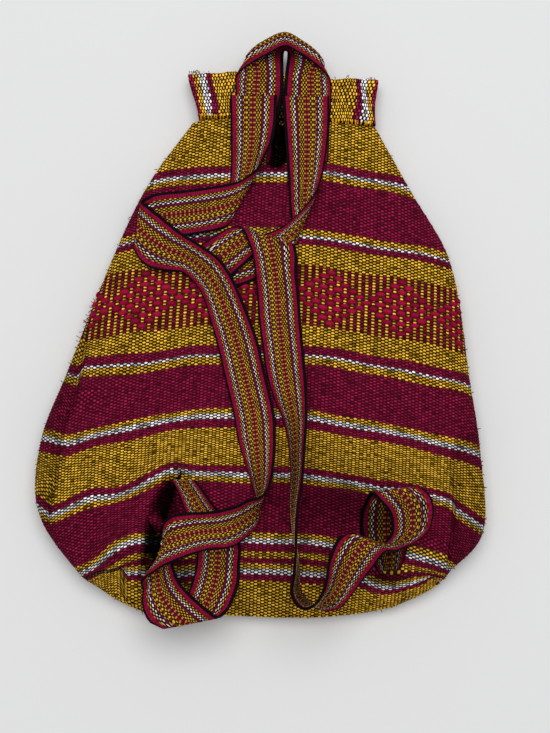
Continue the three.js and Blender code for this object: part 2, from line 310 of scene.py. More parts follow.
def ramp(factor, stops):
    node = addNode(factor.tree, "ValToRGB", {0: factor})
    node.color_ramp.interpolation = "CONSTANT"
    elements = node.color_ramp.elements
    while len(elements) < len(stops):
        elements.new(1.0)
    for element, (place, colour) in zip(elements, stops):
        element.position = place
        element.color = (*colour, 1)
    return node.outputs[0]


def mix(factor, a, b, blend="MIX"):
    a, b = ((*colour, 1) if isinstance(colour, tuple) else colour for colour in (a, b))
    node = addNode(factor.tree, "Mix", {0: factor, 6: a, 7: b}, data_type="RGBA", blend_type=blend)
    return node.outputs[2]


def noise(tree, vector, scale, detail):
    node = addNode(tree, "TexNoise", {"Vector": vector, "Scale": scale, "Detail": detail})
    return Number(tree, node.outputs["Fac"])


def dome(acrossDot, alongDot, halfU, halfV):
    x = (abs(acrossDot) / halfU) ** 3.0
    y = (abs(alongDot) / halfV) ** 2.2
    return calculate("SQRT", atLeast(1.0 - (x + y), 0.0))


def wovenDots(u, v, weave):
    # parity, centre, height and chance number of each raised dot, in brick order;
    # no two are quite the same size
    a = u / weave["columnPitch"]
    column = math.floor(a)
    odd = column % 2.0
    shift = odd * 0.5
    b = v / weave["rowPitch"] + shift
    row = math.floor(b)
    centre = (row + 0.5 - shift) * weave["rowPitch"]
    node = addNode(u.tree, "TexWhiteNoise", {"Vector": joinNumbers(column, row)}, noise_dimensions="2D")
    dice = Number(u.tree, node.outputs["Value"])
    high = dice * (weave["dotHigh"] * 0.4) + weave["dotHigh"] * 0.8
    return odd, centre, dome(a - column - 0.5, b - row - 0.5, weave["dotWide"], high), dice


def weftShown(u, v, height, weave):
    # how much of a dot covers the dark warp, which shows where the weft is slack
    stretched = joinNumbers(u * weave["slackAcross"], v * weave["slackAlong"])
    slack = (noise(u.tree, stretched, 1.0, 1.5) - weave["slackFrom"]) * 8.0
    return atMost(height * weave["cover"], 1.0) * (1.0 - atMost(atLeast(slack, 0.0), 0.85))


def scaled(colour, factor):
    return addNode(factor.tree, "VectorMath", {0: colour, "Scale": factor}, operation="SCALE").outputs[0]


def toneWithPaintedHighlight(colour, tone, height, dice):
    # a thread's own tone, painted lighter towards the top of each dot, with a pale painted highlight along
    # the top
    crest = height ** 5.0 * (dice + 0.5)
    body = scaled(colour, tone * (height * 0.3 + 0.74))
    bright = partsOf(height.tree, colour)[0] ** 2.0
    return mix(bright * crest, body, threads["paintedHighlight"], "ADD")


def dress(skin, colour, height, distance):
    # darker by the mesh's darkness, which is painted shade where a deep fold keeps the light out (on the
    # floats also each one's own tone), and raised by height
    tree = height.tree
    darkness = addNode(tree, "Attribute", {}, attribute_name="darkness").outputs["Fac"]
    tree.links.new(scaled(colour, 1.0 - Number(tree, darkness)), skin.inputs["Base Color"])
    bump = addNode(tree, "Bump", {"Strength": 1.0, "Distance": distance, "Height": height})
    tree.links.new(bump.outputs[0], skin.inputs["Normal"])


def shadeMesh(obj, values):
    obj.data.attributes.new("darkness", "FLOAT", "POINT").data.foreach_set("value", values)


def meshPlaces(obj):
    return np.array([v.co for v in obj.data.vertices]) * 1000 - [0, seamY, 0]


# the sack, seen from its back
sack = {
    "length": 398, "depth": 71, "cloth": 1.6, "baseTurn": 0.9, "hangPower": 2.4,
    "down": [0, 0.123, 0.259, 0.51, 0.623, 0.739, 0.864, 0.925, 0.965, 1],
    "left": [73, 104, 126, 161, 177, 175, 141, 122, 106, 82],
    "right": [76, 105, 139, 158, 167, 171, 146, 139, 127, 102],
    "leftHang": [3, 5, 5, 15, 23, 31, 27, 15, 8, 3],
    "rightHang": [0, 2, 7, 8, 15, 30, 13, -3, -10, -12],
    "side": [11, 14, 16, 18, 18, 18, 16, 14, 13, 12],
    "swell": [0.183, 0.42, 0.69, 0.943, 1, 0.98, 0.836, 0.544, 0.293, 0],
    "columns": 181, "rows": 171, "restInset": 30, "frontFlat": 1.15, "edgeFade": 0.12,
    "ripples": [(0.7, 23, 61, 0), (0.7, 37, -29, 1.3), (0.49, 13, 47, 0.4), (0.42, -71, 15, 0)],
    "gather": 0.9, "gatherReach": 0.035, "seamDip": 2.2, "seamWide": 2.5, "seamStart": 6,
    "columnPitch": 2.83, "rowPitch": 2.3, "firstColumn": 1.9, "relief": 0.34, "dotWide": 0.48,
    "dotHigh": 0.285, "cover": 1.35, "slackAcross": 0.1, "slackAlong": 0.62, "slackFrom": 0.53,
    "whiteInset": 0.0022,
}
stripeEdges = [0, 0.1051, 0.1211, 0.1348, 0.1462, 0.2464, 0.2571, 0.2719, 0.2824, 0.3303, 0.453,
               0.4959, 0.5077, 0.5215, 0.5314, 0.6127, 0.6222, 0.6356, 0.6508, 0.7296, 0.7408, 0.7538,
               0.7631, 0.8462, 0.8536, 0.8664, 0.8774, 0.8921, 0.9013, 0.9105, 0.9234, 0.9346]
stripeNames = {"y": "yellow", "m": "maroon", "w": "white", "b": "brocade"}
stripeColours = [stripeNames[letter] for letter in "ymwymywmybymwymywmymwymywmymywmy"]


def sackRow(t):
    names = "left", "right", "leftHang", "rightHang", "side", "swell"
    row = {name: curve(sack["down"], sack[name], t) for name in names}
    row["y"] = -sack["length"] * t
    row["height"] = row["side"] + (sack["depth"] - row["side"]) * row["swell"]
    return row


def alongPath(points, path):
    # for each stretch of a path of (x, y) places, the share of it passed and the distance from it
    path = np.asarray(path, float)
    for a, b in zip(path[:-1], path[1:]):
        d = b - a
        k = held(((points[..., :2] - a) @ d) / (d @ d))
        yield k, np.linalg.norm(points[..., :2] - a - k[..., None] * d, axis=-1)


def insideFold(points, fold, slope):
    # 1 inside a steep fold along its path, as wide at each place as its widths say
    inside = np.zeros(points.shape[:-1])
    for (k, apart), wa, wb in zip(alongPath(points, fold["path"]), fold["widths"], fold["widths"][1:]):
        inside = np.maximum(inside, smoothStep((wa + (wb - wa) * k - apart) / slope + 0.5))
    return inside


# the slit between the strap tops, and the crevice beside the left strap's end
slit = {"path": [(-1, 1), (-1.5, -18), (-4, -35)], "widths": [2.5, 4, 7], "depth": 20, "slope": 2.5}
crevice = {"path": [(-66, -294), (-75, -314), (-81, -333), (-83, -354), (-90, -373)],
           "widths": [0.5, 4.5, 4.5, 5.5, 1], "depth": 11, "slope": 6}
# soft valleys, and one ridge: path, depth and width
grooves = [([(-88, -300), (-93, -330), (-97, -355)], -5, 11),
           ([(106, -367), (122, -363), (136, -364)], 7, 4),
           ([(-90, -368), (-104, -363), (-113, -362)], 7, 4)]
# how far inside the outline each side seam lies, at shares of the sack's length
seams = {
    "left": {"sign": -1, "down": [0, 0.38, 0.44, 0.5, 0.57, 0.62, 0.7, 0.76, 0.8, 1],
             "inset": [0, 0, 6, 13, 21, 20, 19, 6, 0, 0]},
    "right": {"sign": 1, "down": [0, 0.585, 0.61, 0.655, 0.7, 0.76, 0.82, 0.87, 1],
              "inset": [0, 0, 14, 28, 30, 24, 13, 0, 0]},
}


def seamInset(side, t):
    return np.interp(t, seams[side]["down"], seams[side]["inset"])


def sackGrid(t, angle, isBack, pressed=True):
    r = sackRow(t)
    across = np.sin(angle)
    crown = np.maximum(0, np.cos(angle))
    isLeft = across < 0
    half = np.where(isLeft, r["left"], r["right"])
    hang = np.where(isLeft, r["leftHang"], r["rightHang"])
    turned = held((t - sack["baseTurn"]) / (1 - sack["baseTurn"]))
    floor = r["side"] * (1 - np.sqrt(1 - turned * turned))
    back = r["side"] + (r["height"] - r["side"]) * crown
    front = r["side"] - (r["side"] - floor) * np.minimum(1, sack["frontFlat"] * np.sqrt(crown))
    y = r["y"] - hang * np.abs(across) ** sack["hangPower"]
    points = np.stack([half * across, y, back if isBack else front], axis=-1)
    if isBack and pressed:
        x = points[..., 0]
        fade = crown * held(t / sack["edgeFade"]) * held((1 - t) / sack["edgeFade"])
        points[..., 2] += ripples(sack["ripples"], x, y) * fade
        gathers = np.sin(x / 1.9 + 1.4 * np.sin(x / 9)) + 0.8 * np.sin(x / 3.3 + 2)
        gathers *= sack["gather"] * np.exp(-(t / sack["gatherReach"]) ** 2)
        points[..., 2] += gathers * crown
        for fold in (slit, crevice):
            points[..., 2] -= fold["depth"] * insideFold(points, fold, fold["slope"])
        for path, depth, width in grooves:
            apart = np.min([apart for k, apart in alongPath(points, path)], axis=0)
            points[..., 2] -= depth * np.exp(-(apart / width) ** 2)
        for side in seams:
            seam = seamInset(side, t)
            apart = x - seams[side]["sign"] * (half - seam)
            dip = np.exp(-(apart / sack["seamWide"]) ** 2)
            points[..., 2] -= sack["seamDip"] * dip * held(seam / sack["seamStart"])
    return points


def weaveAcross(points):
    steps = np.linalg.norm(np.diff(points, axis=1), axis=-1)
    reach = np.concatenate([np.zeros((len(points), 1)), np.cumsum(steps, axis=1)], axis=1)
    return reach - reach[:, points.shape[1] // 2][:, None]


rowShares = np.linspace(0, 1, sack["rows"]) ** 0.97
angles = np.linspace(-math.pi / 2, math.pi / 2, sack["columns"])
shareGrid, angleGrid = np.meshgrid(rowShares, angles, indexing="ij")
backPoints = sackGrid(shareGrid, angleGrid, True)
centreLine = sackGrid(rowShares, np.zeros_like(rowShares), True, pressed=False)
# the weft is beaten up more closely towards the base
spread = np.interp(rowShares, [0, 0.05, 0.18, 0.44, 0.56, 0.66, 0.76, 0.88, 0.935, 1],
                   [1.28, 1.26, 1.17, 1.11, 0.93, 0.83, 0.85, 0.92, 1.3, 1.6])
centreSteps = np.linalg.norm(np.diff(centreLine, axis=0), axis=1) / spread[1:]
centreDown = np.concatenate([[0], np.cumsum(centreSteps)])
smoothBack = sackGrid(shareGrid, angleGrid, True, pressed=False)
# the warp hangs nearly straight down the sack
backU = 0.45 * weaveAcross(smoothBack) + 0.55 * 1.03 * smoothBack[..., 0] + sack["firstColumn"]
clothLength = float(centreDown[-1])


def clothDown(share):
    return np.interp(share, rowShares, centreDown)


# how far the straps and the filling pull the stripes up, at places down and across the sack
flatRow = [0] * 14
pulls = {
    "down": [0, 0.13, 0.26, 0.51, 0.63, 0.75, 0.835, 0.88, 0.92, 1],
    "across": [-172, -160, -152, -130, -110, -95, -75, -50, 0, 30, 60, 90, 125, 150],
    "up": [
        flatRow,
        [0, 0, 0, 0, 0, 0, -1.5, -1, 0.5, 2, 2, 2.3, 2.3, 2.3],
        [0, 0, 0, 0, 0, 0, 0, 0, 1, 2, -0.7, -0.7, 1.4, 2],
        [0, 0, 0, 0, -0.5, -2, -1.7, 1, 3.5, 4.7, 3.2, 1, -0.8, 0],
        [-2, -3, -8, -8, -7.5, -5.5, -2.5, -1, 2, 3.3, -2.5, -2.7, -2.7, 0],
        [-4, -5, -5.5, -3, -7.4, -5.5, 2, 2.8, 4, 4.6, 5.6, 4, 1.8, 0],
        [0, 0, -2, -4, 5, 7, 3, 0, 0, 0, 0, 3.5, 3, 0],
        [0, 0, -2, -4, 5, 7, 3, 0, 0, 0, 0, 3.5, 3, 0],
        [0, 0, 0, 0, 7, 6, 0, -1.5, 0, 0, 0, 0, 0, 0],
        flatRow,
    ],
}
stripeDrift = [(0.8, 31, 47, 0), (0.6, 17, -23, 1), (0.4, 9, 12, 0)]
# over the left strap's end: size, middle and reach across, middle and reach along
stripeHumps = [(5, -64, 36, -296, 24), (3.2, -68, 11, -292, 16)]
# steps in the stripes at the seams and the tucks: lengths, and shares of the sack's length
leftStep = {"soft": 3, "start": 4, "step": 2.5, "back": 4.6, "near": 40, "nearDrop": 5,
            "from": 0.44, "until": 0.7, "nearUntil": 0.6, "fade": 0.05}
rightStep = {"soft": 1.2, "near": 88, "power": 0.8, "nearDrop": 15, "drop": 10, "fall": 3.5,
             "from": 0.625, "fadeIn": 0.11, "until": 0.86, "fadeOut": 0.06}
leftTuck = {"sign": -1, "down": 0.884, "below": 0, "soft": 0.6, "from": 101, "fade": 7, "swallow": 22}
rightTuck = {"sign": 1, "down": 0.8966, "below": 2, "soft": 0.8, "from": 120, "fade": 18, "swallow": 14,
             "bend": 8.5, "bendMiddle": 98, "bendWide": 20, "bendAbove": 11, "bendLong": 20}


def leftSeamPull(x, r):
    p = leftStep
    seam = seamInset("left", shareGrid)
    edge = 1 - seam / r["left"]
    beyond = smoothStep((-x - r["left"] * edge) / p["soft"] + 0.5) * held(seam / p["start"])
    power = sack["hangPower"]
    hang = np.maximum(0, np.abs(np.sin(angleGrid)) ** power - edge ** power)
    start = smoothStep((shareGrid - p["from"]) / p["fade"])
    back = p["back"] * start * smoothStep((p["until"] - shareGrid) / p["fade"])
    near = held((p["near"] - r["left"] + seam - x) / p["near"]) ** 2
    near *= start * smoothStep((p["nearUntil"] - shareGrid) / p["fade"])
    return beyond * (2 * r["leftHang"] * hang + p["step"] - back) + p["nearDrop"] * near * (1 - beyond)


def rightSeamPull(x, r):
    p = rightStep
    seam = seamInset("right", shareGrid)
    reach = r["right"] - seam
    near = held((x - p["near"]) / np.maximum(1, reach - p["near"])) ** p["power"]
    beyond = held((x - reach) / np.maximum(1, seam))
    outside = smoothStep((x - reach) / p["soft"] + 0.5)
    window = smoothStep((shareGrid - p["from"]) / p["fadeIn"])
    window *= held((p["until"] - shareGrid) / p["fadeOut"])
    return window * (p["nearDrop"] * near * (1 - outside) + (p["drop"] - p["fall"] * beyond) * outside)


def swallowed(v, x, tuck):
    # how much cloth a tuck takes in, past its line
    past = smoothStep((v - clothDown(tuck["down"]) - tuck["below"]) / tuck["soft"] + 0.5)
    return tuck["swallow"] * smoothStep((tuck["sign"] * x - tuck["from"]) / tuck["fade"]) * past


def pulledStripes():
    # where the stripes leave the straight weave
    r = sackRow(shareGrid)
    x, y = backPoints[..., 0], backPoints[..., 1]
    v = clothDown(shareGrid)
    v += ripples(stripeDrift, backU, v)
    for size, middleX, wide, middleY, high in stripeHumps:
        v += size * np.exp(-((x - middleX) / wide) ** 2 - ((y - middleY) / high) ** 2)
    v += leftSeamPull(x, r) + rightSeamPull(x, r)
    v += swallowed(v, x, leftTuck)
    # the right tuck bends the stripes up first
    p = rightTuck
    bend = p["bend"] * np.exp(-((x - p["bendMiddle"]) / p["bendWide"]) ** 2)
    v -= bend * smoothStep((v - clothDown(p["down"]) + p["bendAbove"]) / p["bendLong"])
    v += swallowed(v, x, rightTuck)
    lifts = curve(pulls["down"], pulls["up"], rowShares)
    return v + np.array([curve(pulls["across"], lift, line) for lift, line in zip(lifts, x)])


backV = pulledStripes()

# the front, which lies on the floor, is the same cloth folded up at the base
frontShares = rowShares[::2]
frontAngles = angles[::2]
frontShare, frontAngle = np.meshgrid(frontShares, frontAngles, indexing="ij")
frontPoints = sackGrid(frontShare, frontAngle, False)
frontV = 2 * clothLength - clothDown(frontShare)
frontU = weaveAcross(frontPoints) + sack["firstColumn"]
# from the base up, so that the cloth's own length grows with the row
frontPoints, frontU, frontV = frontPoints[::-1], frontU[::-1], frontV[::-1]


def clothMaterial():
    material, tree, skin = newMaterial("sack_cloth", 0.9)
    u, v = clothCoordinates(tree)
    odd, centre, height, dice = wovenDots(u, v, sack)
    # the front repeats the back's stripes from the base up
    share = (clothLength - abs(centre - clothLength)) / clothLength
    edges = clothDown(stripeEdges) / clothLength
    for k, name in enumerate(stripeColours):
        if name == "white":
            edges[k] += sack["whiteInset"]
            edges[k + 1] -= sack["whiteInset"]
    colours = [threads.get(c, threads["yellow"]) for c in stripeColours]
    stops = list(zip(edges, colours))
    half = len(stops) // 2
    lower = ramp(share, [(0, colours[half - 1])] + stops[half:])
    colour = mix(share > float(edges[half]), ramp(share, stops[:half]), lower)
    k = stripeColours.index("brocade")
    inBand = (share > float(edges[k])) * (share < float(edges[k + 1]))
    colour = mix(inBand * odd, colour, (0.22, 0.004, 0.032))
    tone = (dice * 0.46 + 0.74) * (noise(tree, joinNumbers(u, v), 0.05, 3.0) * 0.4 + 0.8)
    # gaps keep a little of the weft's own colour, and more of it where the weft is maroon
    deep = partsOf(tree, colour)[1] < 0.1
    gaps = mix(deep * 0.12 + 0.03, (0.006, 0.003, 0.001), colour)
    final = mix(weftShown(u, v, height, sack), gaps, toneWithPaintedHighlight(colour, tone, height, dice))
    fibres = noise(tree, joinNumbers(u, v * 5.0), 1.2, 2.0)
    dress(skin, final, height + fibres * 0.35, 0.0004)
    return material


def floatMaterial():
    # soft thick wefts: each has its own tone and painted shade towards its edges, both from the mesh's
    # darkness, and fibres run along it
    material, tree, skin = newMaterial("brocade_float", 0.9)
    place = addNode(tree, "TexCoord", {}).outputs["Object"]
    stretched = addNode(tree, "VectorMath", {0: place, 1: (250, 1500, 800)}, operation="MULTIPLY")
    fibres = noise(tree, stretched.outputs[0], 1.0, 3.0)
    dress(skin, mix(fibres, (0.29, 0.003, 0.028), (0.46, 0.013, 0.064)), fibres, 0.0003)
    return material


clothLook = clothMaterial()
floatLook = floatMaterial()
redThread = plainMaterial("red_thread", (0.24, 0.004, 0.026))
darkThread = plainMaterial("dark_thread", threads["black"])
yellowThread = plainMaterial("yellow_thread", threads["yellow"])

# the raised brocade row
brocade = {
    "picks": 11, "pickShare": 11.4, "reach": 36, "edge": 4,
    "halfLong": 4.3, "halfHigh": 2.3, "root": -0.4, "rise": 1.9, "shape": (5, 9),
    # middles of the diamonds in yellow columns, and how far each reaches
    "diamonds": [(-28, 5), (-18, 5), (-8, 5), (0, 3), (8, 5), (18, 5), (28, 5)],
}


def brocadeFloats(lattice):
    k = stripeColours.index("brocade")
    edges = clothDown(stripeEdges[k:k + 2])
    middle = edges.mean()
    column, row = 2 * sack["columnPitch"], (edges[1] - edges[0]) / brocade["pickShare"]
    points, faces, shade = [], [], []
    shape = brocade["shape"]
    kv, ku = np.meshgrid(np.linspace(-1, 1, shape[0]), np.linspace(-1, 1, shape[1]), indexing="ij")
    profile = np.maximum(0, 1 - np.abs(ku) ** 2.4) ** 0.6
    crown = profile * np.sqrt(np.maximum(0, 1 - kv ** 2))
    lift = (brocade["root"] + brocade["rise"] * crown)[..., None]
    rowIndex = int(np.searchsorted(centreDown, middle))
    low, high = backU[rowIndex][0] + brocade["edge"], backU[rowIndex][-1] - brocade["edge"]
    lastPick = brocade["picks"] - 1
    for j in range(brocade["picks"]):
        for i in range(-brocade["reach"], brocade["reach"] + 1):
            wide = min(j, lastPick - j) - lastPick // 2
            worked = any(abs(i - place) <= wide + reach for place, reach in brocade["diamonds"])
            if (i + j) % 2 or not worked:
                continue
            u0 = (i + 0.25) * column + jitter(0.25)
            v0 = middle + (j - lastPick // 2) * row + jitter(0.25)
            if not low < u0 < high:
                continue
            uu = u0 + ku * brocade["halfLong"] * chance.uniform(0.92, 1.08)
            vv = v0 + kv * profile * brocade["halfHigh"] * chance.uniform(0.9, 1.1)
            base = onLattice(lattice, uu, vv)
            normal = unit(np.cross(base[3, 4] - base[1, 4], base[2, 5] - base[2, 3]))
            if normal[2] < 0:
                normal = -normal
            # each float's own tone at random, with painted shade towards its edges
            shade.append(1 - chance.uniform(0.6, 1) * (0.2 + 0.8 * crown))
            faces += gridFaces(*shape, start=len(points) * shape[0] * shape[1])
            points.append(base + lift * normal)
    return np.concatenate([p.reshape(-1, 3) for p in points]), faces, np.concatenate(shade, axis=None)


back, backLattice = wovenCloth("sack_back", backPoints, backU, backV, sack, [clothLook])
front = wovenCloth("sack_front", frontPoints, frontU, frontV, sack, [clothLook])[0]
floatPoints, floatFaces, floatShade = brocadeFloats(backLattice)
floats = addMesh("brocade_floats", floatPoints, floatFaces, None, [floatLook])
shadeMesh(floats, floatShade)
print("sack made:", len(back.data.polygons), "faces behind,", len(front.data.polygons), "in front")

# where the belts rest: the cloth's top seen from above
groundPoints = [tuple(p) for p in backPoints.reshape(-1, 3)]
ground = BVHTree.FromPolygons(groundPoints, gridFaces(*backPoints.shape[:2]))

# places of painted shade: middle and reach across, middle and reach along, sharpness, darkness
shadows = [(55, 38, -312, 26, 2, 0.58), (-66, 15, -372, 17, 4, 0.66), (-70, 9, -316, 16, 3, 0.78),
           (94, 14, -364, 6, 4, 0.72)]
# how dark the painted shade in the folds, along the seams and at the tucks is, and how far it reaches
gloom = {"fold": 0.988, "foldSlope": 4, "slitWidths": [14, 13, 10], "creviceWider": 2.5,
         "line": 0.55, "lineWide": 1.6, "strip": 0.2, "stripFade": 4, "lee": 0.5, "leeReach": 10,
         "tuck": 0.8, "tuckStep": 6}


def clothShade():
    # painted shade where little light gets into the deep folds, the seams and the hollows beside the straps
    r = sackRow(shareGrid)
    x, y = backPoints[..., 0], backPoints[..., 1]
    wider = [w + gloom["creviceWider"] for w in crevice["widths"]]
    folds = dict(slit, widths=gloom["slitWidths"]), dict(crevice, widths=wider)
    inside = [insideFold(backPoints, fold, gloom["foldSlope"]) for fold in folds]
    shade = gloom["fold"] * np.max(inside, axis=0)
    for centreX, wide, centreY, high, power, dark in shadows:
        apart = np.abs((x - centreX) / wide) ** power + np.abs((y - centreY) / high) ** power
        shade = np.maximum(shade, dark * np.exp(-apart))
    for side in seams:
        seam = seamInset(side, shareGrid)
        beyond = seams[side]["sign"] * x - (r[side] - seam)
        line = gloom["line"] * np.exp(-(beyond / gloom["lineWide"]) ** 2)
        strip = gloom["strip"] * smoothStep(beyond / gloom["stripFade"])
        lee = gloom["lee"] * smoothStep(beyond + 1) * np.exp(-np.maximum(0, beyond) / gloom["leeReach"])
        there = held(seam / sack["seamStart"])
        shade = np.maximum(shade, there * np.max([line, strip, lee], axis=0))
    # painted shade: a dark line where a tuck swallows cloth
    steps = np.diff(backV, axis=0)[:, :-1] / gloom["tuckStep"]
    return np.maximum(shade[:-1, :-1], gloom["tuck"] * smoothStep(steps - 1)).ravel()


cellShade = clothShade()
cells = [ground.find_nearest(Vector(p))[2] for p in meshPlaces(back)]
shadeMesh(back, cellShade[cells])

# the folded mouth bands
band = {"length": 38, "thick": 5.2, "left": 68, "right": 75, "flareLeft": 10, "flareRight": 1, "flat": 150,
        "depth": 22, "middle": 11, "gap": 0.3, "bow": 80, "columns": 160}


def bandMiddle(x, isBack):
    half = (band["thick"] + band["gap"]) / 2
    opened = (band["depth"] - band["thick"]) / 2 - half
    across = np.minimum(1, np.abs(x) / band["bow"])
    part = half + opened * np.sqrt(1 - across ** 2)
    return band["middle"] + (part + band["thick"] / 4 if isBack else -part)


def clothTop(x, y):
    if y > band["length"]:
        return 0.0
    if y >= 0:
        return float(bandMiddle(np.array(x), True)) + band["thick"] / 2
    hit = ground.ray_cast(Vector((x, y, 500)), Vector((0, 0, -1)))[0]
    return hit.z if hit else 0.0


def restHeight(x, y):
    inset = sack["restInset"]
    y = min(max(y, inset - sack["length"]), band["length"])
    r = sackRow(np.array(max(0, -y / sack["length"])))
    return clothTop(min(max(x, inset - float(r["left"])), float(r["right"]) - inset), y)


# the belt of the straps and the hang loop
belt = {"width": 36, "thick": 1.8, "layer": 2.7, "clear": 0.3, "across": 13, "steps": 6, "columns": 34,
        "columnPitch": 36 / 34, "rowPitch": 4, "relief": 0.2, "dotWide": 0.44, "dotHigh": 0.23,
        "rim": 0.5, "edgeShare": 0.03, "edgeThin": 0.75, "fade": 25, "shadeFade": 0.02}
# warp columns from selvedge to selvedge
beltColumns = [
    (1, "black"), (3, "crimson"), (1, "rust"), (1, "yellow"), (2, "white"), (1, "maroon"), (1, "rust"),
    (1, "yellow"), (2, "chain"), (1, "yellow"), (5, "ladder"), (4, "yellow"), (2, "maroon"), (2, "white"),
    (2, "yellow"), (3, "crimson"), (2, "black")]
columnNames = [name for count, name in beltColumns for k in range(count)]


def beltMaterial():
    material, tree, skin = newMaterial("belt", 0.85)
    u, v = clothCoordinates(tree)
    height, dice = wovenDots(u, v, belt)[2:]
    face = {**threads, "yellow": (0.72, 0.40, 0.03), "crimson": (0.24, 0.006, 0.038),
            "maroon": (0.13, 0.010, 0.032), "rust": (0.55, 0.24, 0.06), "chain": (0.16, 0.08, 0.008),
            "ladder": (0.15, 0.010, 0.02)}
    under = {"crimson": (0.10, 0.003, 0.02), "maroon": (0.08, 0.006, 0.02), "rust": (0.06, 0.004, 0.014),
             "chain": (0.03, 0.015, 0.004), "ladder": (0.085, 0.006, 0.012),
             "yellow": (0.012, 0.006, 0.003)}
    starts, place = {}, 0
    over, below, ribbed = [], [], []
    for count, name in beltColumns:
        starts.setdefault(name, (place, place + count))
        first = place / belt["columns"]
        over.append((first, face[name]))
        below.append((first, under.get(name, threads["black"])))
        ribbed.append((first, (1, 1, 1) if name == "crimson" else (0, 0, 0)))
        place += count
    share = u / belt["width"]
    # both warps of the edges are crimson, so each pick shows there as a rib
    rib = (abs(v / (belt["rowPitch"] / 2) % 1.0 - 0.5) * 2.0) ** 2.0
    isRib = Number(tree, ramp(share, ribbed))
    height = height * (1.0 - isRib) + (1.0 - rib) * isRib
    warp = scaled(ramp(share, over), dice * 0.5 + 0.7)
    final = mix(atMost(height * 1.3, 1.0), ramp(share, below), warp)

    def rowOfDots(name, pitchU, halfU, halfV):
        # dots side by side in rungs, in the columns of that name
        first, last = (c * belt["columnPitch"] for c in starts[name])
        x = (((u - (first + last) / 2) / pitchU + 0.5) % 1.0 - 0.5) * pitchU
        y = (v / belt["rowPitch"] % 1.0 - 0.5) * belt["rowPitch"]
        return dome(x, y, halfU, halfV) * ((u > first) * (u < last))

    chain = rowOfDots("chain", 2.12, 0.84, 0.9)
    # each rung is two pairs of dots with a dark thread between
    rungMiddle = sum(starts["ladder"]) / 2 * belt["columnPitch"]
    ladder = rowOfDots("ladder", belt["columnPitch"], 0.48, 0.76)
    ladder = ladder * (abs(u - rungMiddle) > belt["columnPitch"] / 2)
    final = mix(atMost(chain * 1.5, 1.0), final, (0.70, 0.40, 0.035))
    final = mix(atMost(ladder * 1.4, 1.0), final, (0.62, 0.27, 0.05))
    dress(skin, final, atLeast(height, atLeast(chain, ladder)), 0.0004)
    return material


beltLook = beltMaterial()


def fineCurve(rows, middles, steps):
    # a smooth curve through the rows, with as many steps from each to the next
    lengths = np.linalg.norm(np.diff(middles, axis=0), axis=1)
    knots = np.concatenate([[0], np.cumsum(np.maximum(1, lengths))])
    at = np.linspace(0, len(rows) - 1, (len(rows) - 1) * steps + 1)
    return curve(knots, rows, np.interp(at, np.arange(len(rows)), knots))


def beltRows(route):
    above = belt["clear"] + belt["thick"] / 2
    rows = []
    for x, y, layers, ax, ay, *tilt in route:
        az = tilt[0] if tilt else 0
        z = restHeight(x, y) + above + layers * belt["layer"] + abs(az) * belt["width"] / 2
        rows.append([x, y, z, ax, ay, az])
    rows = np.array(rows)
    fine = fineCurve(rows, rows[:, :3], belt["steps"])
    middles, halves = fine[:, :3].copy(), fine[:, 3:] * belt["width"] / 2
    for k, (middle, half) in enumerate(zip(middles, halves)):
        across = [middle + s * half for s in (-1, -0.5, 0, 0.5, 1)]
        middles[k, 2] += max(0, *(clothTop(p[0], p[1]) + above - p[2] for p in across))
    return middles, halves


